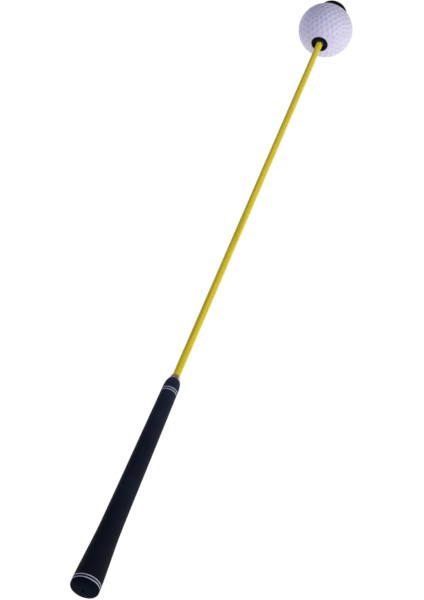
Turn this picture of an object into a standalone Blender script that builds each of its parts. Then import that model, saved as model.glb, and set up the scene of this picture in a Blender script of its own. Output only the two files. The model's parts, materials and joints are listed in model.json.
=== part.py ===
"""Swing trainer stick: a golf grip on a steel handle tube, a fibreglass rod, a weighted ball that
slides and turns on the rod, and a cushioned stop at the rod's far end.

The stick lies along +Y. The origin is on its axis, at the middle of the two-handed hold.
Stations are distances along +Y from the butt end of the grip; the ball's own pieces are drawn
about the ball's centre. Every piece is turned about the stick's axis.
"""

import math

import bmesh
import bpy

MM = 0.001

# Whole stick
HOLD_STATION = 100.0 * MM        # butt end to the middle of the two-handed hold
GAP = 0.3 * MM                   # play between pieces that touch
SLIDE_PLAY = 0.1 * MM            # radial running clearance of the ball's guides on the rod
SIDES = 32                       # facets round a visible piece
INNER_SIDES = 20                 # facets round a piece that nothing shows
ARC_STEPS = 2                    # facets round a small corner
FINE_ARC_STEPS = 10              # facets along the ball from its equator to its pole
SHARP_ANGLE = math.radians(35.0)
WELD = 1.0e-6

# Grip
GRIP_LENGTH = 268.0 * MM
GRIP_CAP_LENGTH = 4.2 * MM
GRIP_TIP_RADIUS = 6.85 * MM
GRIP_TIP_CORNER = 0.4 * MM
GRIP_NOSE_STATION = 250.0 * MM
GRIP_NOSE_RADIUS = 8.55 * MM
GRIP_NOSE_POWER = 3.6            # how suddenly the nose turns in
GRIP_NOSE_STEPS = 5
GRIP_NOSE_STEP_POWER = 0.6       # packs the nose's sections towards its tip
GRIP_TAPER = 0.0127              # radius gained per unit length towards the butt
GRIP_FLARE = 0.0434              # extra taper of the bell at the butt
GRIP_FLARE_STATION = 68.0 * MM
GRIP_FLARE_BLEND = 12.0 * MM
GRIP_RIM_RADIUS = 14.0 * MM      # the bell levels out to this at the butt
GRIP_RIM_BLEND = 0.3 * MM
GRIP_STEPS = 12
GRIP_STEP_POWER = 1.6            # packs the grip's sections towards its bell
RING_WIDTH = 1.0 * MM
RING_DEPTH = 0.35 * MM
RING_STATIONS = (5.9 * MM, 8.9 * MM, 249.9 * MM, 252.9 * MM)
BUTT_FLAT_RADIUS = 6.5 * MM
BUTT_DOME = 0.7 * MM
BUTT_DOME_RADIUS = 10.9 * MM
VENT_RADIUS = 1.2 * MM
CAP_SPIGOT_RADIUS = 7.9 * MM
CAP_SPIGOT_LENGTH = 1.5 * MM

# Handle tube and what it holds
TUBE_START = 7.8 * MM
TUBE_END = 262.0 * MM
TUBE_BUTT_RADIUS = 7.5 * MM
TUBE_TIP_RADIUS = 6.1 * MM
TUBE_WALL = 1.0 * MM
TAPE_START = 14.0 * MM
TAPE_END = 236.0 * MM
TAPE_THICKNESS = 0.3 * MM
PLUG_HEAD = 1.5 * MM
PLUG_LENGTH = 13.0 * MM
PLUG_HOLE_RADIUS = 1.5 * MM
REAR_BUSH_START = 150.0 * MM
REAR_BUSH_LENGTH = 22.0 * MM
FERRULE_END = 274.0 * MM
FERRULE_NECK_RADIUS = 5.9 * MM   # inside the grip's lip
FERRULE_RADIUS = 6.5 * MM        # collar, where it meets the grip
FERRULE_TOP_RADIUS = 5.7 * MM    # the collar narrows towards the rod
FERRULE_CORNER = 0.5 * MM
FERRULE_SPIGOT_START = 236.0 * MM

# Rod
ROD_RADIUS = 4.0 * MM
ROD_START = 146.0 * MM
ROD_CHAMFER = 0.5 * MM

# Ball, measured from its centre
BALL_STATION = 933.0 * MM
BALL_RADIUS = 35.75 * MM
SHELL_INNER_RADIUS = 33.0 * MM
SHELL_BOSS_RADIUS = 13.0 * MM
SHELL_BOSS_FACE = 29.5 * MM
SHELL_LIP_RADII = (31.0 * MM, 32.5 * MM)
SHELL_LIP_FROM = -3.5 * MM
SHELL_LIP_TO = 5.0 * MM
BUSH_FLANGE_RADIUS = 10.75 * MM
BUSH_BARREL_RADIUS = 8.5 * MM
BUSH_SEAT = 33.0 * MM            # floor of the pocket in the shell that the flange sits in
BUSH_FLANGE_TOP = 35.0 * MM
BUSH_LIP_TOP = 36.7 * MM
BUSH_LIP_OUTER_RADIUS = 8.9 * MM
BUSH_LIP_CORNER = 0.5 * MM
BUSH_RECESS_RADIUS = 6.8 * MM
BUSH_RECESS_FLOOR = 32.7 * MM
BUSH_BORE_RADIUS = 4.7 * MM
BUSH_SHOULDER = 26.4 * MM
BUSH_INNER_END = 18.0 * MM
MAGNET_HOLE_RADIUS = 4.6 * MM
MAGNET_THICKNESS = 4.0 * MM
SLEEVE_RADII = (5.5 * MM, 6.8 * MM)
GUIDE_LENGTH = 14.0 * MM
SLEEVE_WAIST_RADIUS = 4.7 * MM   # bore between the guides, which keeps them apart
WEIGHT_RADIUS = 12.0 * MM

# End stop, measured from the ball's centre with the ball at rest against it
ROD_END = 36.5 * MM
INSERT_START = 28.9 * MM
INSERT_END = 40.9 * MM
INSERT_RADIUS = 5.5 * MM
PAD_THICKNESS = 3.5 * MM
PAD_RADIUS = 16.5 * MM
PAD_CORNER = 0.8 * MM
CAP_RADIUS = 18.75 * MM
CAP_RIM = 38.4 * MM
CAP_FACE = 45.4 * MM
CAP_CORNER = 1.8 * MM
CAP_RIM_CORNER = 0.6 * MM
CAP_WEB_THICKNESS = 1.4 * MM
CAP_COUNTERBORE_RADIUS = 5.9 * MM
WASHER_RADIUS = 5.6 * MM
WASHER_THICKNESS = 0.6 * MM
SCREW_RADIUS = 2.0 * MM
SCREW_HEAD_RADIUS = 4.0 * MM
SCREW_HEAD_HEIGHT = 1.5 * MM
SCREW_CHAMFER = 0.3 * MM
SCREW_TIP = 37.3 * MM
HEX_ACROSS_FLATS = 2.5 * MM
HEX_DEPTH = 1.1 * MM


def clear_scene():
    for obj in list(bpy.data.objects):
        bpy.data.objects.remove(obj, do_unlink=True)


def material(name, color, roughness, metallic=0.0, coat=0.0):
    """A Principled material with the piece's own colour and finish."""
    mat = bpy.data.materials.new(name)
    mat.use_nodes = True
    shader = mat.node_tree.nodes["Principled BSDF"]
    shader.inputs["Base Color"].default_value = (*color, 1.0)
    shader.inputs["Roughness"].default_value = roughness
    shader.inputs["Metallic"].default_value = metallic
    shader.inputs["Coat Weight"].default_value = coat
    return mat


def empty(name, station):
    """A plain axes empty on the stick's axis."""
    obj = bpy.data.objects.new(name, None)
    obj.empty_display_size = 0.02
    obj.location = (0.0, station - HOLD_STATION, 0.0)
    bpy.context.collection.objects.link(obj)
    return obj


def arc(center_y, center_r, radius, start, end, steps=ARC_STEPS):
    """Points along an arc in the (y, r) half plane; angles in degrees, 0 along +y."""
    points = []
    for step in range(steps + 1):
        angle = math.radians(start + (end - start) * step / steps)
        points.append((center_y + radius * math.cos(angle), center_r + radius * math.sin(angle)))
    return points


def mirrored(points):
    """The same outline on the other side of the ball's centre."""
    return [(-y, r) for y, r in points]


def turned(name, outline, sides, mat, parent):
    """A closed body: the (y, r) outline spun once round the Y axis."""
    bm = bmesh.new()
    verts = [bm.verts.new((r, y, 0.0)) for y, r in outline]
    edges = [bm.edges.new((vert, verts[(i + 1) % len(verts)])) for i, vert in enumerate(verts)]
    bmesh.ops.spin(bm, geom=verts + edges, cent=(0, 0, 0), axis=(0, 1, 0),
                   angle=2.0 * math.pi, steps=sides, use_merge=True)
    bmesh.ops.remove_doubles(bm, verts=bm.verts, dist=WELD)
    on_axis = [e for e in bm.edges if not e.link_faces]
    bmesh.ops.delete(bm, geom=on_axis, context="EDGES")
    bmesh.ops.recalc_face_normals(bm, faces=bm.faces)
    mesh = bpy.data.meshes.new(name)
    bm.to_mesh(mesh)
    bm.free()
    mesh.shade_smooth()
    mesh.set_sharp_from_angle(angle=SHARP_ANGLE)
    mesh.materials.append(mat)
    obj = bpy.data.objects.new(name, mesh)
    bpy.context.collection.objects.link(obj)
    obj.parent = parent
    return obj


def grip_radius(station):
    """Outer radius of the grip: an even taper, a bell at the butt and a turned-in nose."""
    if station > GRIP_NOSE_STATION:
        along = (station - GRIP_NOSE_STATION) / (GRIP_LENGTH - GRIP_NOSE_STATION)
        return GRIP_NOSE_RADIUS - (GRIP_NOSE_RADIUS - GRIP_TIP_RADIUS) * along ** GRIP_NOSE_POWER
    to_flare = GRIP_FLARE_STATION - station
    flare = GRIP_FLARE * 0.5 * (to_flare + math.hypot(to_flare, GRIP_FLARE_BLEND))
    cone = GRIP_NOSE_RADIUS + GRIP_TAPER * (GRIP_NOSE_STATION - station) + flare
    return 0.5 * (cone + GRIP_RIM_RADIUS - math.hypot(cone - GRIP_RIM_RADIUS, GRIP_RIM_BLEND))


def tube_radius(station):
    """Outer radius of the handle tube, which narrows from the butt to the tip."""
    along = (station - TUBE_START) / (TUBE_END - TUBE_START)
    return TUBE_BUTT_RADIUS + (TUBE_TIP_RADIUS - TUBE_BUTT_RADIUS) * along


def tube_bore(station):
    return tube_radius(station) - TUBE_WALL


def ring_groove(station):
    """Four points that step down into a ring groove and out again."""
    start, end = station - 0.5 * RING_WIDTH, station + 0.5 * RING_WIDTH
    return [
        (start, grip_radius(start)),
        (start, grip_radius(start) - RING_DEPTH),
        (end, grip_radius(end) - RING_DEPTH),
        (end, grip_radius(end)),
    ]


def grip_outside():
    """The grip's outer outline from butt to tip, with its ring grooves."""
    start = GRIP_CAP_LENGTH + GAP
    stations = [start + (GRIP_LENGTH - start) * (i / GRIP_STEPS) ** GRIP_STEP_POWER
                for i in range(GRIP_STEPS)]
    nose = GRIP_LENGTH - GRIP_TIP_CORNER - GRIP_NOSE_STATION
    stations = [s for s in stations if s < GRIP_NOSE_STATION]
    stations += [GRIP_NOSE_STATION + nose * (i / GRIP_NOSE_STEPS) ** GRIP_NOSE_STEP_POWER
                 for i in range(GRIP_NOSE_STEPS)]
    clear = [s for s in stations if all(abs(s - ring) > RING_WIDTH for ring in RING_STATIONS)]
    points = [(s, grip_radius(s)) for s in clear]
    for ring in RING_STATIONS:
        points.extend(ring_groove(ring))
    points.sort(key=lambda point: point[0])
    tip = arc(GRIP_LENGTH - GRIP_TIP_CORNER, GRIP_TIP_RADIUS - GRIP_TIP_CORNER, GRIP_TIP_CORNER,
              90.0, 0.0)
    return points + tip


def make_grip(rubber, hold):
    """The rubber sleeve, wide enough inside for the tape, with a thin lip round the ferrule."""
    tape_room = GAP + TAPE_THICKNESS + GAP
    start = GRIP_CAP_LENGTH + GAP
    step = TAPE_END + GAP
    lip = TUBE_END + GAP
    inside = [
        (GRIP_LENGTH, FERRULE_NECK_RADIUS + GAP),
        (lip, FERRULE_NECK_RADIUS + GAP),
        (lip, tube_radius(lip) + GAP),
        (step, tube_radius(step) + GAP),
        (step, tube_radius(step) + tape_room),
        (start, tube_radius(start) + tape_room),
    ]
    return turned("grip", grip_outside() + inside, SIDES, rubber, hold)


def make_grip_end_cap(rubber, hold):
    """The moulded butt cap with its vent hole and the spigot that enters the grip."""
    rim = grip_radius(GRIP_CAP_LENGTH)
    corner = rim - BUTT_DOME_RADIUS
    edge = arc(BUTT_DOME + corner, BUTT_DOME_RADIUS, corner, 180.0, 90.0, 4)
    outline = [(0.0, VENT_RADIUS), (0.0, BUTT_FLAT_RADIUS)] + edge + [
        (GRIP_CAP_LENGTH, rim),
        (GRIP_CAP_LENGTH, CAP_SPIGOT_RADIUS),
        (GRIP_CAP_LENGTH + CAP_SPIGOT_LENGTH, CAP_SPIGOT_RADIUS),
        (GRIP_CAP_LENGTH + CAP_SPIGOT_LENGTH, VENT_RADIUS),
    ]
    return turned("grip_end_cap", outline, SIDES, rubber, hold)


def make_tape(mat, hold):
    """The double-sided tape wound round the tube, which the grip sticks to."""
    outline = [
        (TAPE_START, tube_radius(TAPE_START) + GAP),
        (TAPE_START, tube_radius(TAPE_START) + GAP + TAPE_THICKNESS),
        (TAPE_END, tube_radius(TAPE_END) + GAP + TAPE_THICKNESS),
        (TAPE_END, tube_radius(TAPE_END) + GAP),
    ]
    return turned("grip_tape", outline, INNER_SIDES, mat, hold)


def make_handle_tube(steel, hold):
    outline = [
        (TUBE_START, tube_bore(TUBE_START)),
        (TUBE_START, tube_radius(TUBE_START)),
        (TUBE_END, tube_radius(TUBE_END)),
        (TUBE_END, tube_bore(TUBE_END)),
    ]
    return turned("handle_tube", outline, INNER_SIDES, steel, hold)


def make_tube_plug(plastic, hold):
    """The plug in the tube's butt end, bored to let the air out."""
    start = TUBE_START - GAP - PLUG_HEAD
    shoulder = TUBE_START - GAP
    spigot = tube_bore(TUBE_START + PLUG_LENGTH) - GAP
    outline = [
        (start, PLUG_HOLE_RADIUS),
        (start, TUBE_BUTT_RADIUS),
        (shoulder, TUBE_BUTT_RADIUS),
        (shoulder, spigot),
        (TUBE_START + PLUG_LENGTH, spigot),
        (TUBE_START + PLUG_LENGTH, PLUG_HOLE_RADIUS),
    ]
    return turned("tube_end_plug", outline, INNER_SIDES, plastic, hold)


def make_rear_bush(plastic, hold):
    """The bush that centres the rod's inner end in the tube."""
    end = REAR_BUSH_START + REAR_BUSH_LENGTH
    outline = [
        (REAR_BUSH_START, ROD_RADIUS + GAP),
        (REAR_BUSH_START, tube_bore(REAR_BUSH_START) - GAP),
        (end, tube_bore(end) - GAP),
        (end, ROD_RADIUS + GAP),
    ]
    return turned("rear_rod_bush", outline, INNER_SIDES, plastic, hold)


def make_ferrule(chrome, hold):
    """The bright collar that closes the tube, centres the rod and parks the ball."""
    shoulder = TUBE_END + GAP
    spigot = tube_bore(TUBE_END) - GAP
    nose = arc(FERRULE_END - FERRULE_CORNER, FERRULE_TOP_RADIUS - FERRULE_CORNER, FERRULE_CORNER,
               90.0, 0.0, 3)
    outline = [
        (FERRULE_SPIGOT_START, ROD_RADIUS + GAP),
        (FERRULE_SPIGOT_START, spigot),
        (shoulder, spigot),
        (shoulder, FERRULE_NECK_RADIUS),
        (GRIP_LENGTH + GAP, FERRULE_NECK_RADIUS),
        (GRIP_LENGTH + GAP, FERRULE_RADIUS),
    ] + nose + [(FERRULE_END, ROD_RADIUS + GAP)]
    return turned("tip_ferrule", outline, SIDES, chrome, hold)


def make_rod(glassfibre, hold):
    end = BALL_STATION + ROD_END
    outline = [
        (ROD_START, 0.0),
        (ROD_START, ROD_RADIUS - ROD_CHAMFER),
        (ROD_START + ROD_CHAMFER, ROD_RADIUS),
        (end - ROD_CHAMFER, ROD_RADIUS),
        (end, ROD_RADIUS - ROD_CHAMFER),
        (end, 0.0),
    ]
    return turned("rod", outline, SIDES, glassfibre, hold)


def shell_outline(with_lip):
    """Half of the ball from its equator to the pocket and hole at its pole."""
    pocket_radius = BUSH_FLANGE_RADIUS + GAP
    hole_radius = BUSH_BARREL_RADIUS + GAP
    joint = 0.5 * GAP
    equator = 90.0 - math.degrees(math.asin(joint / BALL_RADIUS))
    pole = math.degrees(math.asin(pocket_radius / BALL_RADIUS))
    outside = arc(0.0, 0.0, BALL_RADIUS, equator, pole, FINE_ARC_STEPS)
    boss = math.degrees(math.asin(SHELL_BOSS_RADIUS / SHELL_INNER_RADIUS))
    inner_edge = SHELL_LIP_TO if with_lip else joint
    inner_equator = 90.0 - math.degrees(math.asin(inner_edge / SHELL_INNER_RADIUS))
    inside = arc(0.0, 0.0, SHELL_INNER_RADIUS, boss, inner_equator, FINE_ARC_STEPS // 2)
    outline = outside + [
        (BUSH_SEAT, pocket_radius),
        (BUSH_SEAT, hole_radius),
        (SHELL_BOSS_FACE, hole_radius),
        (SHELL_BOSS_FACE, SHELL_BOSS_RADIUS),
    ] + inside
    if with_lip:
        outline += [
            (SHELL_LIP_TO, SHELL_LIP_RADII[0]),
            (SHELL_LIP_FROM, SHELL_LIP_RADII[0]),
            (SHELL_LIP_FROM, SHELL_LIP_RADII[1]),
            (joint, SHELL_LIP_RADII[1]),
        ]
    return outline


def bush_outline():
    """A flanged bush: barrel, flange, raised lip, recess, bore and the socket for the sleeve."""
    flange_top = arc(BUSH_FLANGE_TOP - BUSH_LIP_CORNER, BUSH_FLANGE_RADIUS - BUSH_LIP_CORNER,
                     BUSH_LIP_CORNER, 90.0, 0.0, ARC_STEPS)
    lip_outer = arc(BUSH_LIP_TOP - BUSH_LIP_CORNER, BUSH_LIP_OUTER_RADIUS - BUSH_LIP_CORNER,
                    BUSH_LIP_CORNER, 90.0, 0.0, ARC_STEPS)
    lip_inner = arc(BUSH_LIP_TOP - BUSH_LIP_CORNER, BUSH_RECESS_RADIUS + BUSH_LIP_CORNER,
                    BUSH_LIP_CORNER, 0.0, -90.0, ARC_STEPS)
    pocket_floor = BUSH_RECESS_FLOOR - MAGNET_THICKNESS - GAP
    socket = SLEEVE_RADII[1] + GAP
    return [
        (BUSH_INNER_END, BUSH_BARREL_RADIUS),
        (BUSH_SEAT + GAP, BUSH_BARREL_RADIUS),
        (BUSH_SEAT + GAP, BUSH_FLANGE_RADIUS),
    ] + flange_top + [
        (BUSH_FLANGE_TOP, BUSH_LIP_OUTER_RADIUS),
    ] + lip_outer + lip_inner + [
        (pocket_floor, BUSH_RECESS_RADIUS),
        (pocket_floor, BUSH_BORE_RADIUS),
        (BUSH_SHOULDER, BUSH_BORE_RADIUS),
        (BUSH_SHOULDER, socket),
        (BUSH_INNER_END, socket),
    ]


def ring_outline(start, end, inner, outer):
    return [(start, inner), (start, outer), (end, outer), (end, inner)]


def sleeve_outline():
    """The core sleeve: a plain tube with a narrower waist between the two guides."""
    end = BUSH_SHOULDER - GAP
    waist = end - GUIDE_LENGTH - GAP
    bore, outer = SLEEVE_RADII
    return [
        (-end, bore),
        (-end, outer),
        (end, outer),
        (end, bore),
        (waist, bore),
        (waist, SLEEVE_WAIST_RADIUS),
        (-waist, SLEEVE_WAIST_RADIUS),
        (-waist, bore),
    ]


def make_ball(mats, ball):
    """Two shell halves clamped by two flanged bushes on a sleeve, with the weight and the magnet."""
    bush = bush_outline()
    turned("ball_shell_far", shell_outline(False), SIDES, mats["ball"], ball)
    turned("ball_shell_near", mirrored(shell_outline(True)), SIDES, mats["ball"], ball)
    turned("far_bush", bush, SIDES, mats["gloss"], ball)
    turned("near_bush", mirrored(bush), SIDES, mats["gloss"], ball)
    magnet = ring_outline(BUSH_RECESS_FLOOR - MAGNET_THICKNESS, BUSH_RECESS_FLOOR,
                          MAGNET_HOLE_RADIUS, BUSH_RECESS_RADIUS - GAP)
    turned("latch_magnet", mirrored(magnet), SIDES, mats["ferrite"], ball)
    turned("core_sleeve", sleeve_outline(), INNER_SIDES, mats["aluminium"], ball)
    weight_end = BUSH_INNER_END - GAP
    weight = ring_outline(-weight_end, weight_end, SLEEVE_RADII[1] + GAP, WEIGHT_RADIUS)
    turned("ball_weight", weight, INNER_SIDES, mats["steel"], ball)


def make_guides(nylon, guides):
    """The two floating bushes that run on the rod: they slide with the ball, which turns on them."""
    end = BUSH_SHOULDER - GAP
    guide = ring_outline(end - GUIDE_LENGTH, end, ROD_RADIUS + SLIDE_PLAY, SLEEVE_RADII[0] - GAP)
    turned("guide_bush_far", guide, SIDES, nylon, guides)
    turned("guide_bush_near", mirrored(guide), SIDES, nylon, guides)


def make_bumper_pad(rubber, stop):
    """The soft washer that the ball strikes."""
    start = BUSH_LIP_TOP + GAP
    end = start + PAD_THICKNESS
    corner = arc(start + PAD_CORNER, PAD_RADIUS - PAD_CORNER, PAD_CORNER, 180.0, 90.0, ARC_STEPS)
    outline = [(start, INSERT_RADIUS + GAP)] + corner + [(end, PAD_RADIUS), (end, INSERT_RADIUS + GAP)]
    return turned("bumper_pad", outline, SIDES, rubber, stop)


def make_end_cap(plastic, stop):
    """The black cap: a shallow cup for the pad, a web over the insert and a counterbore."""
    pad_seat = BUSH_LIP_TOP + GAP + PAD_THICKNESS + GAP
    web_start = INSERT_END + GAP
    web_end = web_start + CAP_WEB_THICKNESS
    rim = arc(CAP_RIM + CAP_RIM_CORNER, CAP_RADIUS - CAP_RIM_CORNER, CAP_RIM_CORNER, 180.0, 90.0)
    edge = arc(CAP_FACE - CAP_CORNER, CAP_RADIUS - CAP_CORNER, CAP_CORNER, 90.0, 0.0, 4)
    outline = [(CAP_RIM, PAD_RADIUS + GAP)] + rim + edge + [
        (CAP_FACE, CAP_COUNTERBORE_RADIUS),
        (web_end, CAP_COUNTERBORE_RADIUS),
        (web_end, SCREW_RADIUS + GAP),
        (web_start, SCREW_RADIUS + GAP),
        (web_start, INSERT_RADIUS + GAP),
        (pad_seat, INSERT_RADIUS + GAP),
        (pad_seat, PAD_RADIUS + GAP),
    ]
    return turned("end_cap", outline, SIDES, plastic, stop)


def make_insert(brass, stop):
    """The sleeve bonded over the rod's end, with the screw's hole in its outer end."""
    outline = [
        (INSERT_START, ROD_RADIUS + GAP),
        (INSERT_START, INSERT_RADIUS),
        (INSERT_END, INSERT_RADIUS),
        (INSERT_END, SCREW_RADIUS + GAP),
        (ROD_END + GAP, SCREW_RADIUS + GAP),
        (ROD_END + GAP, ROD_RADIUS + GAP),
    ]
    return turned("rod_end_insert", outline, SIDES, brass, stop)


def hex_cutter(stop, top):
    """A guide body for the screw's key socket."""
    bm = bmesh.new()
    bmesh.ops.create_cone(bm, cap_ends=True, segments=6, radius1=HEX_ACROSS_FLATS / math.sqrt(3.0),
                          radius2=HEX_ACROSS_FLATS / math.sqrt(3.0), depth=2.0 * HEX_DEPTH)
    mesh = bpy.data.meshes.new("screw_socket_cutter")
    bm.to_mesh(mesh)
    bm.free()
    cutter = bpy.data.objects.new("screw_socket_cutter", mesh)
    bpy.context.collection.objects.link(cutter)
    cutter.parent = stop
    cutter.location = (0.0, top, 0.0)
    cutter.rotation_euler = (math.radians(90.0), 0.0, 0.0)
    cutter.hide_render = True
    cutter.display_type = "WIRE"
    return cutter


def make_screw_and_washer(steel, stop):
    """The low-head screw that holds the cap on, and its washer."""
    web_end = INSERT_END + GAP + CAP_WEB_THICKNESS
    washer_end = web_end + GAP + WASHER_THICKNESS
    washer = ring_outline(web_end + GAP, washer_end, SCREW_RADIUS + GAP, WASHER_RADIUS)
    turned("end_washer", washer, SIDES, steel, stop)
    head = washer_end + GAP
    top = head + SCREW_HEAD_HEIGHT
    outline = [
        (SCREW_TIP, 0.0),
        (SCREW_TIP, SCREW_RADIUS - ROD_CHAMFER),
        (SCREW_TIP + ROD_CHAMFER, SCREW_RADIUS),
        (head, SCREW_RADIUS),
        (head, SCREW_HEAD_RADIUS),
        (top - SCREW_CHAMFER, SCREW_HEAD_RADIUS),
        (top, SCREW_HEAD_RADIUS - SCREW_CHAMFER),
        (top, 0.0),
    ]
    screw = turned("end_screw", outline, SIDES, steel, stop)
    socket = screw.modifiers.new("key_socket", "BOOLEAN")
    socket.operation = "DIFFERENCE"
    socket.solver = "EXACT"
    socket.object = hex_cutter(stop, top)


def make_materials():
    return {
        "rubber": material("grip_rubber", (0.010, 0.013, 0.020), 0.62),
        "cap_rubber": material("grip_cap_rubber", (0.009, 0.012, 0.017), 0.55),
        "tape": material("grip_tape_paper", (0.62, 0.58, 0.50), 0.85),
        "steel": material("plated_steel", (0.56, 0.57, 0.58), 0.32, 1.0),
        "plastic": material("inner_plastic", (0.045, 0.045, 0.050), 0.50),
        "chrome": material("ferrule_chrome", (0.80, 0.79, 0.77), 0.12, 1.0),
        "glassfibre": material("rod_glassfibre", (0.56, 0.44, 0.020), 0.38, 0.0, 0.2),
        "ball": material("ball_plastic", (0.60, 0.58, 0.66), 0.42),
        "gloss": material("bush_gloss", (0.010, 0.010, 0.013), 0.16),
        "ferrite": material("magnet_ferrite", (0.020, 0.020, 0.022), 0.45),
        "aluminium": material("sleeve_aluminium", (0.70, 0.71, 0.72), 0.35, 1.0),
        "nylon": material("guide_nylon", (0.75, 0.74, 0.70), 0.45),
        "pad": material("pad_rubber", (0.018, 0.018, 0.020), 0.70),
        "end": material("end_cap_gloss", (0.008, 0.008, 0.011), 0.14),
        "brass": material("insert_brass", (0.70, 0.52, 0.22), 0.30, 1.0),
    }


def main():
    clear_scene()
    mats = make_materials()
    hold = empty("butt_end", 0.0)
    guides = empty("ball_travel", BALL_STATION)
    ball = empty("ball_centre", 0.0)
    ball.location = (0.0, 0.0, 0.0)
    ball.parent = guides
    stop = empty("end_stop", BALL_STATION)
    make_grip(mats["rubber"], hold)
    make_grip_end_cap(mats["cap_rubber"], hold)
    make_tape(mats["tape"], hold)
    make_handle_tube(mats["steel"], hold)
    make_tube_plug(mats["plastic"], hold)
    make_rear_bush(mats["plastic"], hold)
    make_ferrule(mats["chrome"], hold)
    make_rod(mats["glassfibre"], hold)
    make_ball(mats, ball)
    make_guides(mats["nylon"], guides)
    make_bumper_pad(mats["pad"], stop)
    make_end_cap(mats["end"], stop)
    make_insert(mats["brass"], stop)
    make_screw_and_washer(mats["steel"], stop)


main()
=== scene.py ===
import json
import math

import bmesh
import bpy
import numpy as np
from mathutils import Matrix, Vector


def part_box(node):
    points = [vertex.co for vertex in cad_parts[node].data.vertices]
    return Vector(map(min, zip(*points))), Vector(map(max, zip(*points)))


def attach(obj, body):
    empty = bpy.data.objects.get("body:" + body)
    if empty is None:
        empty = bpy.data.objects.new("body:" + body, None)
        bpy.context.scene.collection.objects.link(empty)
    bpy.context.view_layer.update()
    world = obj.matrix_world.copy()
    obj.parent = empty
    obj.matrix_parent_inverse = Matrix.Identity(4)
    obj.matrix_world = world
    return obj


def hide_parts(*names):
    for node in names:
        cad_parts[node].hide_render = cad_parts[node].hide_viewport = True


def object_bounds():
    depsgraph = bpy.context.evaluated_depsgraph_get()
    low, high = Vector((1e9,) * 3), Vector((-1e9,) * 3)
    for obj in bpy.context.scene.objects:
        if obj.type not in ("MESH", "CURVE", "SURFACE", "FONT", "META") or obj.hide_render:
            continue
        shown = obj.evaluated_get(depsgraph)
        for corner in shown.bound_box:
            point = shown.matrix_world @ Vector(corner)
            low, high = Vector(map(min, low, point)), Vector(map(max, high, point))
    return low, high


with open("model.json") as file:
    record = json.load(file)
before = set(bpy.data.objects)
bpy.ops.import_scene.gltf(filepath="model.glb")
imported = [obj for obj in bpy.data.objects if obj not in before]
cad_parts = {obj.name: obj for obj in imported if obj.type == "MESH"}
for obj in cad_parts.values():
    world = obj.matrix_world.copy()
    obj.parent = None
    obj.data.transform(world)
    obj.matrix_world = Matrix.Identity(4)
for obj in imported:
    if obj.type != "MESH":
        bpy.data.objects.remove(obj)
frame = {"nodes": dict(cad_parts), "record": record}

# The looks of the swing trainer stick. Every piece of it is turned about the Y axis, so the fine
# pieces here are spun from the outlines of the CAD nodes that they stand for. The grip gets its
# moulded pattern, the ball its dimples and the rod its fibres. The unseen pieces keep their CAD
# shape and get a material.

CAD_BOX = [list(corner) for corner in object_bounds()]
MM = 0.001

# Fine meshes
FINE_SIDES = 96
ROD_SIDES = 64
CORNER_STEPS = 3
LEAST_TURN = math.radians(12.0)  # an outline that turns by less than this has no corner there
CORNER_REACH = 0.45              # the most of a straight stretch that one corner's rounding takes
SAME_POINT = 1.0e-6
SHARP_ANGLE = math.radians(40.0)
CORNER_ROUND = {
    "grip_end_cap": 0.15 * MM,
    "rod": 0.2 * MM,
    "tip_ferrule": 0.2 * MM,
    "bumper_pad": 0.3 * MM,
    "end_cap": 0.3 * MM,
    "rod_end_insert": 0.25 * MM,
    "near_bush": 0.25 * MM,
    "far_bush": 0.25 * MM,
    "latch_magnet": 0.4 * MM,
}

# Grip: staggered round pips between the two pairs of ring lines, and a mould line down each side
PIP_COLUMNS = 24                 # pips round the grip
CELLS_PER_PIP = 6
GRIP_SIDES = PIP_COLUMNS * CELLS_PER_PIP
PIP_PITCH = 3.0 * MM
PIP_HEIGHT = 0.15 * MM
PLAIN_BAND = 3.5 * MM            # left plain beside each pair of ring lines
PLAIN_STEP = 0.8 * MM
RING_MARGIN = 0.3 * PLAIN_STEP   # no row of the plain skin is nearer than this to a ring line
PIP_FADE = 3.0 * MM
MOULD_LINE_HEIGHT = 0.05 * MM
GRIP_TIP_ROUND = 0.4 * MM
PAINT_UNDER_RUBBER = 0.08 * MM   # how far a ring line lies under the rubber round it
PAINT_PLAY = 0.02 * MM

# Grip rubber: painted light and shade along the grip, a grey level that runs from dark at the butt to
# pale at the nose
GRIP_PAINTED_SHADING = ((0.0, 0.60), (0.20, 0.60), (0.40, 0.90), (0.65, 0.98), (0.88, 1.40), (0.98, 2.20))
PAINTED_SHADING_MOST = 2.2                  # the largest of them: a colour ramp's own values stop at 1
PIP_TOP_HIGHLIGHT = 2.2                  # the tops of the pips lean towards this times the rubber's colour, a painted highlight

# Ball
BALL_SIDES = 288
BALL_ROWS = 72
DIMPLE_FREQUENCY = 6             # dimples along each edge of the icosahedron they follow
DIMPLE_RADIUS = 2.95 * MM
DIMPLE_DEPTH = 0.62 * MM
DIMPLE_MARGIN = 0.6 * MM         # plain ball between a bush and the nearest dimple
BOWL_SOFTNESS = 0.35             # 0 is a plain round bowl, 1 a bowl that flattens at its rim and floor
ON_SPHERE = 0.02 * MM            # how near a point of the ball's outside lies to its true sphere
SEAM_GAP = 0.08 * MM
SEAM_ROUND = 0.12 * MM

# Camera: level, over the butt end's right side, looking down along the stick
CAMERA_LENS = 90.0
CAMERA_AZIMUTH = math.radians(16.6)
CAMERA_ELEVATION = math.radians(43.9)
BUTT_RIGHT, BUTT_UP, BUTT_DEPTH = -0.1157, -0.2615, 1.348   # the butt end in the camera's axes

# Stage: the floor is mostly self-lit, because the photo's ground is white and has no shadow
FLOOR_SIZE = 120.0
FLOOR_COLOR = (0.10, 0.10, 0.10, 1.0)
FLOOR_GLOW = 0.96
ROOM_COLOR = (1.0, 1.0, 0.97, 1.0)
ROOM_STRENGTH = 0.23

# Lights: square panels that face the ball, placed from its centre
LIGHT_SIZE = 2.2
KEY_PLACE, KEY_POWER, KEY_COLOR = (4.05, -1.35, 1.35), 123.0, (1.0, 1.015, 1.05)
FILL_PLACE, FILL_POWER, FILL_COLOR = (-1.8, -2.25, 3.46), 40.0, (1.0, 1.0, 1.70)


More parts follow.
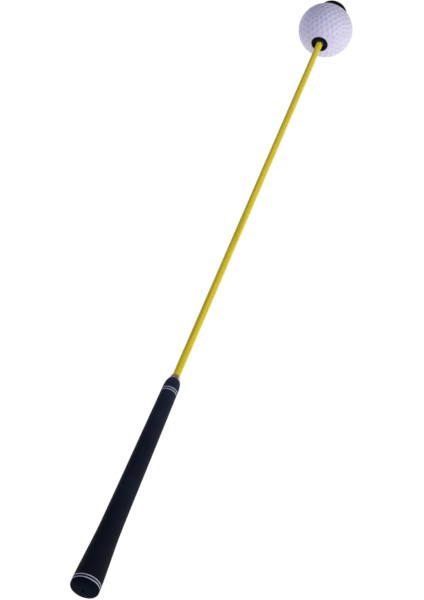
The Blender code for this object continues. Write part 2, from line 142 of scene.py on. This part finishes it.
# ---------------------------------------------------------------- outlines

def outline_of(node):
    """The CAD node's outline, a closed list of (y, r), read where its mesh crosses the +X half plane."""
    mesh = frame["nodes"][node].data
    keys = {}
    for vert in mesh.vertices:
        x, y, z = vert.co
        if abs(z) < SAME_POINT and x > -SAME_POINT:
            keys[vert.index] = (round(y / SAME_POINT), round(max(x, 0.0) / SAME_POINT))
    links = {}
    for edge in mesh.edges:
        a, b = (keys.get(index) for index in edge.vertices)
        if a and b and a != b and (a[1] > 0 or b[1] > 0):
            links.setdefault(a, set()).add(b)
            links.setdefault(b, set()).add(a)
    on_axis = [key for key in links if key[1] == 0]
    start = min(on_axis) if on_axis else min(links)
    path, previous = [start], None
    while True:
        ahead = [key for key in sorted(links[path[-1]]) if key != previous and key not in path[1:]]
        ahead = [key for key in ahead if key != start or len(path) > 2]
        if not ahead or ahead[0] == start:
            break
        previous = path[-1]
        path.append(ahead[0])
    return [(y * SAME_POINT, r * SAME_POINT) for y, r in path]


def softened(points, size):
    """The outline with each corner off the axis rounded by a short quadratic curve."""
    result = []
    for i, here in enumerate(points):
        before = Vector(points[i - 1])
        after = Vector(points[(i + 1) % len(points)])
        corner = Vector(here)
        into, out = corner - before, after - corner
        on_axis = here[1] < SAME_POINT
        turn = abs(into.angle_signed(out, 0.0)) if into.length and out.length else 0.0
        if on_axis or turn < LEAST_TURN:
            result.append(here)
            continue
        reach_in = min(size, CORNER_REACH * into.length)
        reach_out = min(size, CORNER_REACH * out.length)
        first = corner - into.normalized() * reach_in
        last = corner + out.normalized() * reach_out
        for step in range(CORNER_STEPS + 1):
            t = step / CORNER_STEPS
            point = first * (1 - t) ** 2 + corner * 2 * t * (1 - t) + last * t ** 2
            result.append((point.x, point.y))
    return result


# ---------------------------------------------------------------- meshes

def spin(name, points, sides, relief=None, mark=None, about=None):
    """A closed turned mesh. relief is an array of offsets, one row for each outline point, away from
    the axis, or from the point about on it. mark is the name and the rows of a vertex attribute."""
    rows = np.array(points)
    angles = 2.0 * np.pi * np.arange(sides) / sides
    verts = np.empty((len(rows), sides, 3))
    verts[:, :, 0] = rows[:, 1:2] * np.cos(angles)
    verts[:, :, 1] = rows[:, 0:1]
    verts[:, :, 2] = rows[:, 1:2] * np.sin(angles)
    if relief is not None:
        away = verts * (1.0, 0.0, 1.0) if about is None else verts - (0.0, about, 0.0)
        verts += away / np.linalg.norm(away, axis=-1, keepdims=True) * relief[:, :, None]
    row, column = np.meshgrid(np.arange(len(rows)), np.arange(sides), indexing="ij")
    next_row, next_column = (row + 1) % len(rows), (column + 1) % sides
    faces = np.stack([row * sides + column, row * sides + next_column,
                      next_row * sides + next_column, next_row * sides + column], axis=-1)
    mesh = bpy.data.meshes.new(name)
    mesh.from_pydata(verts.reshape(-1, 3).tolist(), [], faces.reshape(-1, 4).tolist())
    if mark:
        layer = mesh.attributes.new(mark[0], "FLOAT", "POINT")
        layer.data.foreach_set("value", mark[1].reshape(-1))
    bm = bmesh.new()
    bm.from_mesh(mesh)
    bmesh.ops.remove_doubles(bm, verts=bm.verts, dist=0.1 * SAME_POINT)
    loose = [edge for edge in bm.edges if not edge.link_faces]
    bmesh.ops.delete(bm, geom=loose, context="EDGES")
    bmesh.ops.recalc_face_normals(bm, faces=bm.faces)
    bm.to_mesh(mesh)
    bm.free()
    mesh.shade_smooth()
    mesh.set_sharp_from_angle(angle=SHARP_ANGLE)
    obj = bpy.data.objects.new(name, mesh)
    bpy.context.collection.objects.link(obj)
    return obj


def place(obj, mat, body, nodes=()):
    """Gives the piece its material and body, and hides the CAD nodes that it stands for."""
    obj.data.materials.append(mat)
    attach(obj, body)
    if nodes:
        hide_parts(*nodes)
    return obj


def body_with(node):
    """The name of the CAD body that holds a node."""
    for body, nodes in frame["record"]["behaviour"]["bodies"].items():
        if node in nodes:
            return body
    raise ValueError(node)


def ball_station():
    """The ball centre's place on the Y axis, midway between its two bushes."""
    return 0.5 * (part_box("near_bush")[0][1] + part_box("far_bush")[1][1])


def fine_copy(node, name, mat, sides=FINE_SIDES):
    """A smooth turned piece that stands for one CAD node."""
    obj = spin(name, softened(outline_of(node), CORNER_ROUND[node]), sides)
    return place(obj, mat, body_with(node), [node])


# ---------------------------------------------------------------- materials

class Nodes:
    """A material's node tree with short calls for the nodes used here."""

    def __init__(self, name):
        self.mat = bpy.data.materials.new(name)
        self.mat.use_nodes = True
        self.tree = self.mat.node_tree
        self.shader = self.tree.nodes["Principled BSDF"]
        self.place = self.add("ShaderNodeTexCoord").outputs["Object"]

    def add(self, kind, **settings):
        node = self.tree.nodes.new(kind)
        for key, value in settings.items():
            setattr(node, key, value)
        return node

    def link(self, source, target):
        self.tree.links.new(source, target)

    def set(self, **values):
        """Sets the shader's own sockets, whose names have spaces for the underscores here."""
        for key, value in values.items():
            self.shader.inputs[key.replace("_", " ")].default_value = value

    def stretched(self, x, y, z):
        mapping = self.add("ShaderNodeMapping")
        mapping.inputs["Scale"].default_value = (x, y, z)
        self.link(self.place, mapping.inputs["Vector"])
        return mapping.outputs["Vector"]

    def noise(self, scale, detail=3.0, vector=None, roughness=0.5):
        node = self.add("ShaderNodeTexNoise")
        node.inputs["Scale"].default_value = scale
        node.inputs["Detail"].default_value = detail
        node.inputs["Roughness"].default_value = roughness
        self.link(vector or self.place, node.inputs["Vector"])
        return node.outputs["Fac"]

    def ramp(self, value, stops):
        node = self.add("ShaderNodeValToRGB")
        ramp = node.color_ramp
        while len(ramp.elements) < len(stops):
            ramp.elements.new(0.5)
        for element, (position, color) in zip(ramp.elements, stops):
            element.position = position
            element.color = (*color, 1.0)
        self.link(value, node.inputs["Fac"])
        return node.outputs["Color"]

    def spread(self, value, low, high, from_low=0.3, from_high=0.7):
        node = self.add("ShaderNodeMapRange")
        node.inputs["From Min"].default_value = from_low
        node.inputs["From Max"].default_value = from_high
        node.inputs["To Min"].default_value = low
        node.inputs["To Max"].default_value = high
        self.link(value, node.inputs["Value"])
        return node.outputs["Result"]

    def bump(self, height, distance, strength):
        node = self.add("ShaderNodeBump")
        node.inputs["Distance"].default_value = distance
        node.inputs["Strength"].default_value = strength
        self.link(height, node.inputs["Height"])
        return node.outputs["Normal"]

    def attribute(self, name):
        return self.add("ShaderNodeAttribute", attribute_name=name).outputs["Fac"]

    def mix(self, factor, first, second):
        node = self.add("ShaderNodeMix", data_type="RGBA")
        self.link(factor, node.inputs["Factor"])
        for socket, value in ((node.inputs["A"], first), (node.inputs["B"], second)):
            if isinstance(value, tuple):
                socket.default_value = (*value, 1.0)
            else:
                self.link(value, socket)
        return node.outputs["Result"]

    def along(self, low, high):
        """0 at the station low and 1 at the station high on the stick's axis."""
        split = self.add("ShaderNodeSeparateXYZ")
        self.link(self.place, split.inputs["Vector"])
        return self.spread(split.outputs["Y"], 0.0, 1.0, low, high)

    def times(self, first, second):
        node = self.add("ShaderNodeMix", data_type="RGBA", blend_type="MULTIPLY")
        node.inputs["Factor"].default_value = 1.0
        self.link(first, node.inputs["A"])
        self.link(second, node.inputs["B"])
        return node.outputs["Result"]

    def finish(self, color, roughness, normal):
        for name, source in (("Base Color", color), ("Roughness", roughness), ("Normal", normal)):
            self.link(source, self.shader.inputs[name])
        return self.mat


def rubber(name, low, high, rough=(0.52, 0.68), grain=0.00006, raised=None, gloss=0.12, shading_span=None):
    """Matte rubber: blotchy near-black with a fine grain, and a painted highlight that makes raised parts
    paler. The last argument is the two stations between which the grip's painted light and shade runs."""
    n = Nodes(name)
    blotch = n.noise(55.0, 4.0)
    if shading_span:
        low, high = (tuple(PAINTED_SHADING_MOST * c for c in color) for color in (low, high))
    color = n.ramp(blotch, [(0.30, low), (0.72, high)])
    if raised:
        # painted highlight: the higher a pip, the paler its colour
        pip_highlight = n.spread(n.attribute(raised), 0.0, 0.35, 0.2, 1.0)
        color = n.mix(pip_highlight, color, tuple(PIP_TOP_HIGHLIGHT * c for c in high))
    # painted light and shade along the grip: the colour is multiplied by a grey level, dark at the butt
    # and paler towards the nose
    if shading_span:
        stops = [(station, (level / PAINTED_SHADING_MOST,) * 3) for station, level in GRIP_PAINTED_SHADING]
        color = n.times(color, n.ramp(n.along(*shading_span), stops))
    normal = n.bump(n.noise(2600.0, 2.0), grain, 0.6)
    n.set(Specular_IOR_Level=gloss, Diffuse_Roughness=1.0)
    return n.finish(color, n.spread(n.noise(240.0, 3.0), *rough), normal)


def ring_paint():
    """Pale worn paint of the ring lines."""
    n = Nodes("ring_line_paint")
    chips = n.noise(900.0, 3.0)
    color = n.ramp(chips, [(0.30, (0.34, 0.34, 0.40)), (0.48, (0.52, 0.52, 0.60))])
    return n.finish(color, n.spread(n.noise(400.0), 0.40, 0.6), n.bump(n.noise(1500.0), 0.00004, 0.5))


def fibre_rod():
    """Pultruded glass fibre: long fine streaks under a thin clear skin."""
    n = Nodes("rod_glassfibre_fine")
    streaks = n.noise(1.0, 4.0, n.stretched(900.0, 9.0, 900.0), 0.6)
    cloud = n.noise(1.0, 3.0, n.stretched(120.0, 9.0, 120.0))
    base = n.ramp(streaks, [(0.28, (0.60, 0.49, 0.014)),
                            (0.52, (0.78, 0.66, 0.024)),
                            (0.80, (0.88, 0.76, 0.050))])
    color = n.mix(n.spread(cloud, 0.0, 0.30), base, (0.76, 0.57, 0.018))
    n.set(Specular_IOR_Level=0.14, Coat_Weight=0.03, Coat_Roughness=0.22, Diffuse_Roughness=1.0)
    return n.finish(color, n.spread(streaks, 0.34, 0.50), n.bump(streaks, 0.00005, 0.5))


def ball_plastic():
    """Satin white moulded plastic with a faint violet cast and painted shade that darkens the dimples."""
    n = Nodes("ball_plastic_fine")
    cloud = n.noise(70.0, 4.0)
    color = n.ramp(cloud, [(0.30, (0.60, 0.57, 0.70)), (0.70, (0.66, 0.63, 0.76))])
    # painted shade: the deeper a point lies in a dimple, the more its colour leans to a dark violet
    dimple_shade = n.spread(n.attribute("dimple"), 0.0, 0.28, 0.40, 1.0)
    color = n.mix(dimple_shade, color, (0.36, 0.33, 0.48))
    normal = n.bump(n.noise(1400.0, 3.0), 0.00004, 0.5)
    n.set(Specular_IOR_Level=0.3)
    return n.finish(color, n.spread(n.noise(300.0, 3.0), 0.38, 0.52), normal)


def gloss_black(name, color):
    """Glossy black moulding with faint smears and rub marks."""
    n = Nodes(name)
    smear = n.noise(1.0, 4.0, n.stretched(60.0, 300.0, 60.0))
    tint = n.ramp(smear, [(0.35, color), (0.75, tuple(1.9 * c for c in color))])
    n.set(Specular_IOR_Level=0.035)
    return n.finish(tint, n.spread(smear, 0.12, 0.26), n.bump(n.noise(700.0, 2.0), 0.00002, 0.4))


def turned_metal(name, low, high, rough):
    """Metal with fine turning marks round the axis and slight tarnish."""
    n = Nodes(name)
    marks = n.noise(1.0, 2.0, n.stretched(20.0, 2600.0, 20.0))
    tarnish = n.noise(160.0, 4.0)
    n.set(Metallic=1.0)
    color = n.ramp(tarnish, [(0.32, low), (0.66, high)])
    return n.finish(color, n.spread(marks, *rough), n.bump(marks, 0.00001, 0.5))


def plain_plastic(name, low, high, rough=(0.40, 0.58)):
    """A dull, slightly blotchy moulding. It serves for the magnet and the paper tape too."""
    n = Nodes(name)
    color = n.ramp(n.noise(120.0, 4.0), [(0.30, low), (0.70, high)])
    return n.finish(color, n.spread(n.noise(500.0), *rough), n.bump(n.noise(1200.0, 3.0), 0.00005, 0.5))


# ---------------------------------------------------------------- grip

def monotone(xs, ys, at):
    """Smooth interpolation through the points that never overshoots them."""
    xs, ys = np.array(xs), np.array(ys)
    slope = np.diff(ys) / np.diff(xs)
    product = slope[:-1] * slope[1:]
    total = np.where(product > 0.0, slope[:-1] + slope[1:], 1.0)
    inner = np.where(product > 0.0, 2.0 * product / total, 0.0)
    tangent = np.concatenate([slope[:1], inner, slope[-1:]])
    index = np.clip(np.searchsorted(xs, at) - 1, 0, len(xs) - 2)
    width = xs[index + 1] - xs[index]
    t = (at - xs[index]) / width
    start = (2 * t ** 3 - 3 * t ** 2 + 1) * ys[index] + (t ** 3 - 2 * t ** 2 + t) * width * tangent[index]
    end = (3 * t ** 2 - 2 * t ** 3) * ys[index + 1] + (t ** 3 - t ** 2) * width * tangent[index + 1]
    return start + end


def grip_runs():
    """The grip's skin points, its ring grooves as (y, y, r, r) floors, its bore and its tip's y."""
    low, high = (corner[1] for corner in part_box("grip"))
    points = outline_of("grip")
    start = max((p for p in points if p[0] - low < SAME_POINT), key=lambda p: p[1])
    at = points.index(start)
    points = points[at:] + points[:at]
    if points[1][0] - low < SAME_POINT:
        points = points[:1] + points[:0:-1]
    tip = next(i for i, p in enumerate(points) if high - p[0] < SAME_POINT)
    outer, bore = points[:tip + 1], points[tip + 1:]
    grooves, floors = [], set()
    for i in range(len(outer) - 3):
        (y0, r0), (y1, r1), (y2, r2), (y3, r3) = outer[i:i + 4]
        if y0 == y1 and y2 == y3 and r1 < r0 and r2 < r3:
            grooves.append((y1, y2, r1, r2))
            floors.update(((y1, r1), (y2, r2)))
    skin = [p for p in outer if p not in floors and p[0] < high - GRIP_TIP_ROUND + SAME_POINT]
    return skin, grooves, bore, high


def grip_rows(skin, grooves, high):
    """The (y, r) rows of the fine grip from butt to tip, and the span that carries pips."""
    ys, rs = zip(*skin)
    first, last = ys[0], high - GRIP_TIP_ROUND
    pips_from = grooves[1][1] + PLAIN_BAND
    pips_to = grooves[2][0] - PLAIN_BAND
    step = PIP_PITCH / CELLS_PER_PIP
    stations = list(np.arange(first, pips_from, PLAIN_STEP))
    stations += list(np.arange(pips_from, pips_to, step))
    stations += list(np.arange(pips_to, last, PLAIN_STEP)) + [last]
    clear = [y for y in stations
             if all(y < g[0] - RING_MARGIN or y > g[1] + RING_MARGIN for g in grooves)]
    rows = list(zip(clear, monotone(ys, rs, np.array(clear))))
    for y1, y2, r1, r2 in grooves:
        top1, top2 = monotone(ys, rs, np.array([y1, y2]))
        rows += [(y1, top1), (y1, r1), (y2, r2), (y2, top2)]
    order = sorted(range(len(rows)), key=lambda i: (rows[i][0], i))
    rows = [rows[i] for i in order]
    return rows, pips_from, pips_to


def grip_relief(rows, pips_from, pips_to):
    """Radial offsets of the pips and the mould lines, and the pips' own height from 0 to 1."""
    ys = np.array([y for y, _ in rows])
    column = 2.0 * np.pi * np.arange(GRIP_SIDES) / CELLS_PER_PIP
    along = 2.0 * np.pi * (ys - pips_from) / PIP_PITCH
    pips = np.clip(np.outer(np.cos(along), np.cos(column)), 0.0, None)
    fade = np.minimum(ys - pips_from, pips_to - ys) / PIP_FADE
    pips *= np.clip(fade, 0.0, 1.0)[:, None]
    relief = PIP_HEIGHT * (pips - 0.5)
    relief[(ys < pips_from) | (ys > pips_to)] = 0.0
    for side in (0, GRIP_SIDES // 2):
        relief[:, side] = np.maximum(relief[:, side], MOULD_LINE_HEIGHT)
    return relief, pips


def make_grip(mats):
    skin, grooves, bore, high = grip_runs()
    rows, pips_from, pips_to = grip_rows(skin, grooves, high)
    tip_radius = rows[-1][1]
    for step in range(1, CORNER_STEPS + 1):
        angle = 0.5 * math.pi * step / CORNER_STEPS
        rows.append((high - GRIP_TIP_ROUND * (1.0 - math.sin(angle)),
                     tip_radius - GRIP_TIP_ROUND * (1.0 - math.cos(angle))))
    relief, pips = grip_relief(rows, pips_from, pips_to)
    flat = np.zeros((len(bore), GRIP_SIDES))
    grip = spin("grip_body", rows + bore, GRIP_SIDES, np.vstack([relief, flat]),
                ("pip", np.vstack([pips, flat])))
    place(grip, mats["grip"], "handle", ["grip"])
    for number, (y1, y2, r1, r2) in enumerate(grooves, 1):
        lift = (monotone(*zip(*skin), np.array([y1, y2])) - PAINT_UNDER_RUBBER).tolist()
        line = [(y1 + PAINT_PLAY, r1 + PAINT_PLAY), (y1 + PAINT_PLAY, lift[0]),
                (y2 - PAINT_PLAY, lift[1]), (y2 - PAINT_PLAY, r2 + PAINT_PLAY)]
        place(spin(f"ring_line_{number}", line, FINE_SIDES), mats["paint"], "handle")
    fine_copy("grip_end_cap", "butt_cap", mats["cap"])


# ---------------------------------------------------------------- ball

def dimple_directions():
    """Unit vectors to the points of an icosahedron's faces divided evenly, one corner along +Y."""
    bm = bmesh.new()
    bmesh.ops.create_icosphere(bm, subdivisions=1, radius=1.0)
    top = max(bm.verts, key=lambda vert: vert.co.z).co
    turn = top.rotation_difference(Vector((0.0, 1.0, 0.0))).to_matrix()
    found = {}
    for face in bm.faces:
        a, b, c = (turn @ vert.co for vert in face.verts)
        for i in range(DIMPLE_FREQUENCY + 1):
            for j in range(DIMPLE_FREQUENCY + 1 - i):
                k = DIMPLE_FREQUENCY - i - j
                point = (a * i + b * j + c * k).normalized()
                found[tuple(round(v, 4) for v in point)] = tuple(point)
    bm.free()
    return np.array([found[key] for key in sorted(found)])


def dimple_depths(points, centers):
    """How deep each surface point lies in its nearest dimple, from 0 to 1."""
    unit = points / np.linalg.norm(points, axis=-1, keepdims=True)
    nearest = np.clip((unit.reshape(-1, 3) @ centers.T).max(axis=1), -1.0, 1.0)
    radius = np.linalg.norm(points, axis=-1).reshape(-1)
    across = 2.0 * radius * np.sin(0.5 * np.arccos(nearest)) / DIMPLE_RADIUS
    bowl = np.clip(1.0 - across ** 2, 0.0, 1.0)
    soft = bowl * bowl * (3.0 - 2.0 * bowl)
    depth = (1.0 - BOWL_SOFTNESS) * bowl + BOWL_SOFTNESS * soft
    return depth.reshape(points.shape[:-1])


def outside_first(node, is_outside):
    """A node's outline as two runs: the points that pass the test, and the rest, in order."""
    points = outline_of(node)
    start = next(i for i, point in enumerate(points)
                 if is_outside(point) and not is_outside(points[i - 1]))
    points = points[start:] + points[:start]
    return [p for p in points if is_outside(p)], [p for p in points if not is_outside(p)]


def make_shell(node, name, mat, centre, radius, centers):
    """One half of the ball: the CAD shell with a fine dimpled outside and a neat seam."""
    outside, rest = outside_first(
        node, lambda p: abs(math.hypot(p[0] - centre, p[1]) - radius) < ON_SPHERE)
    angles = [math.atan2(y - centre, r) for y, r in (outside[0], outside[-1])]
    from_seam = abs(angles[0]) < abs(angles[-1])
    pole = max(angles, key=abs)
    sign = math.copysign(1.0, pole)
    seam = [0.5 * SEAM_GAP / radius, (0.5 * SEAM_GAP + SEAM_ROUND) / radius]
    fine = seam + list(np.linspace(seam[1], abs(pole), BALL_ROWS)[1:])
    drop = [SEAM_ROUND] + [0.0] * (len(fine) - 1)
    arc = [(centre + sign * (radius - d) * math.sin(a), (radius - d) * math.cos(a))
           for a, d in zip(fine, drop)]
    if not from_seam:
        arc.reverse()
    turns = 2.0 * np.pi * np.arange(BALL_SIDES) / BALL_SIDES
    surface = np.array([[(r * math.cos(t), y - centre, r * math.sin(t)) for t in turns] for y, r in arc])
    depth = dimple_depths(surface, centers)
    flat = np.zeros((len(rest), BALL_SIDES))
    inward = -DIMPLE_DEPTH * np.vstack([depth, flat])
    shell = spin(name, arc + rest, BALL_SIDES, inward, ("dimple", np.vstack([depth, flat])),
                 about=centre)
    return place(shell, mat, "ball", [node])


def make_ball(mats):
    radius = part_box("ball_shell_far")[1][0]
    centre = ball_station()
    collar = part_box("near_bush")[1][0] + DIMPLE_RADIUS + DIMPLE_MARGIN
    every = dimple_directions()
    from_axis = radius * np.hypot(every[:, 0], every[:, 2])
    centers = every[from_axis > collar]
    make_shell("ball_shell_near", "ball_half_near", mats["ball"], centre, radius, centers)
    make_shell("ball_shell_far", "ball_half_far", mats["ball"], centre, radius, centers)
    fine_copy("near_bush", "near_bush_fine", mats["bush"])
    fine_copy("far_bush", "far_bush_fine", mats["bush"])
    fine_copy("latch_magnet", "latch_magnet_fine", mats["magnet"])


# ---------------------------------------------------------------- the rest

def make_rod_and_ends(mats):
    fine_copy("rod", "rod_fine", mats["rod"], ROD_SIDES)
    fine_copy("tip_ferrule", "tip_ferrule_fine", mats["chrome"])
    fine_copy("bumper_pad", "bumper_pad_fine", mats["pad"])
    fine_copy("end_cap", "end_cap_fine", mats["end"])
    fine_copy("rod_end_insert", "rod_end_insert_fine", mats["brass"])


def dress_inner_nodes(mats):
    """The pieces that keep their CAD shape get a finer material."""
    for node, key in (("grip_tape", "tape"), ("handle_tube", "steel"), ("tube_end_plug", "plastic"),
                      ("rear_rod_bush", "plastic"), ("core_sleeve", "aluminium"),
                      ("guide_bush_near", "nylon"), ("guide_bush_far", "nylon"),
                      ("ball_weight", "steel"), ("end_washer", "steel"), ("end_screw", "steel")):
        obj = frame["nodes"][node]
        if not obj.material_slots:
            obj.data.materials.append(None)
        for slot in obj.material_slots:
            slot.material = mats[key]


def make_materials():
    metal, plastic = turned_metal, plain_plastic
    return {
        "grip": rubber("grip_rubber_fine", (0.0072, 0.0100, 0.0190), (0.0116, 0.0156, 0.0278),
                       raised="pip", gloss=0.035, shading_span=(CAD_BOX[0][1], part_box("grip")[1][1])),
        "cap": rubber("butt_cap_rubber", (0.0018, 0.0046, 0.0124), (0.0031, 0.0068, 0.0168),
                      rough=(0.50, 0.64), gloss=0.018),
        "pad": rubber("bumper_rubber", (0.014, 0.014, 0.016), (0.026, 0.026, 0.029),
                      rough=(0.60, 0.78), grain=0.0001),
        "paint": ring_paint(),
        "rod": fibre_rod(),
        "ball": ball_plastic(),
        "bush": gloss_black("bush_gloss_fine", (0.0045, 0.0048, 0.0080)),
        "end": gloss_black("end_cap_gloss_fine", (0.0030, 0.0034, 0.0060)),
        # the ferrule's warm tan colour is partly a painted reflection of the yellow rod and the room
        "chrome": metal("ferrule_chrome_fine", (0.66, 0.43, 0.34), (0.93, 0.68, 0.57), (0.13, 0.24)),
        # the magnet's brownish tint is partly a painted reflection of the yellow rod in its recess
        "magnet": plastic("magnet_ferrite_fine", (0.0045, 0.0038, 0.0020), (0.0095, 0.0080, 0.0045)),
        "brass": metal("insert_brass_fine", (0.52, 0.36, 0.13), (0.72, 0.54, 0.24), (0.22, 0.36)),
        "steel": metal("plated_steel_fine", (0.42, 0.43, 0.44), (0.60, 0.61, 0.62), (0.24, 0.40)),
        "aluminium": metal("sleeve_aluminium_fine", (0.58, 0.59, 0.60), (0.74, 0.75, 0.76),
                           (0.28, 0.42)),
        "plastic": plastic("inner_plastic_fine", (0.035, 0.035, 0.040), (0.060, 0.060, 0.066)),
        "nylon": plastic("guide_nylon_fine", (0.66, 0.65, 0.60), (0.78, 0.77, 0.72)),
        "tape": plastic("grip_tape_paper", (0.52, 0.48, 0.40), (0.66, 0.62, 0.54), rough=(0.75, 0.9)),
    }


# ---------------------------------------------------------------- stage, light and camera

def make_floor():
    """A plain pale floor. The stick rests on its ball and its butt, so it dips towards the butt."""
    ball_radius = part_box("ball_shell_far")[1][0]
    butt_low, butt_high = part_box("grip")
    ball_y = ball_station()
    tilt = math.asin((ball_radius - butt_high[0]) / (ball_y - butt_low[1]))
    down = Vector((0.0, math.sin(tilt), -math.cos(tilt)))
    bm = bmesh.new()
    bmesh.ops.create_grid(bm, x_segments=1, y_segments=1, size=0.5 * FLOOR_SIZE)
    mesh = bpy.data.meshes.new("floor")
    bm.to_mesh(mesh)
    bm.free()
    floor = bpy.data.objects.new("floor", mesh)
    bpy.context.collection.objects.link(floor)
    floor.location = Vector((0.0, ball_y, 0.0)) + down * ball_radius
    floor.rotation_euler = (tilt, 0.0, 0.0)
    n = Nodes("floor_white")
    n.set(Base_Color=FLOOR_COLOR, Roughness=0.9, Specular_IOR_Level=0.0)
    n.set(Emission_Color=(1.0, 1.0, 1.0, 1.0), Emission_Strength=FLOOR_GLOW)
    mesh.materials.append(n.mat)


def area_light(name, place_from_ball, power, color):
    """A square panel that faces the ball."""
    ball = Vector((0.0, ball_station(), 0.0))
    data = bpy.data.lights.new(name, "AREA")
    data.shape = "SQUARE"
    data.size = LIGHT_SIZE
    data.energy = power
    data.color = color
    light = bpy.data.objects.new(name, data)
    light.location = ball + Vector(place_from_ball)
    light.rotation_euler = (ball - light.location).to_track_quat("-Z", "Y").to_euler()
    bpy.context.collection.objects.link(light)


def make_light():
    """An even room, and two large panels: the key from the right, and a bluish fill from above."""
    world = bpy.data.worlds.new("soft_room")
    bpy.context.scene.world = world
    world.use_nodes = True
    background = world.node_tree.nodes["Background"]
    background.inputs["Color"].default_value = ROOM_COLOR
    background.inputs["Strength"].default_value = ROOM_STRENGTH
    area_light("key", KEY_PLACE, KEY_POWER, KEY_COLOR)
    area_light("fill", FILL_PLACE, FILL_POWER, FILL_COLOR)


def make_camera():
    """Places the camera by the butt end's distances along the camera's own axes."""
    azimuth, elevation = CAMERA_AZIMUTH, CAMERA_ELEVATION
    ahead = Vector((-math.sin(azimuth) * math.cos(elevation), math.cos(azimuth) * math.cos(elevation),
                    -math.sin(elevation)))
    right = Vector((math.cos(azimuth), math.sin(azimuth), 0.0))
    up = right.cross(ahead)
    butt = Vector((0.0, CAD_BOX[0][1], 0.0))
    data = bpy.data.cameras.new("camera")
    data.lens = CAMERA_LENS
    camera = bpy.data.objects.new("camera", data)
    camera.location = butt - right * BUTT_RIGHT - up * BUTT_UP - ahead * BUTT_DEPTH
    camera.rotation_euler = Matrix((right, up, -ahead)).transposed().to_euler()
    bpy.context.collection.objects.link(camera)
    bpy.context.scene.camera = camera


def main():
    bpy.context.scene.view_settings.view_transform = "Standard"
    mats = make_materials()
    make_camera()
    make_grip(mats)
    make_rod_and_ends(mats)
    make_ball(mats)
    dress_inner_nodes(mats)
    make_floor()
    make_light()


main()
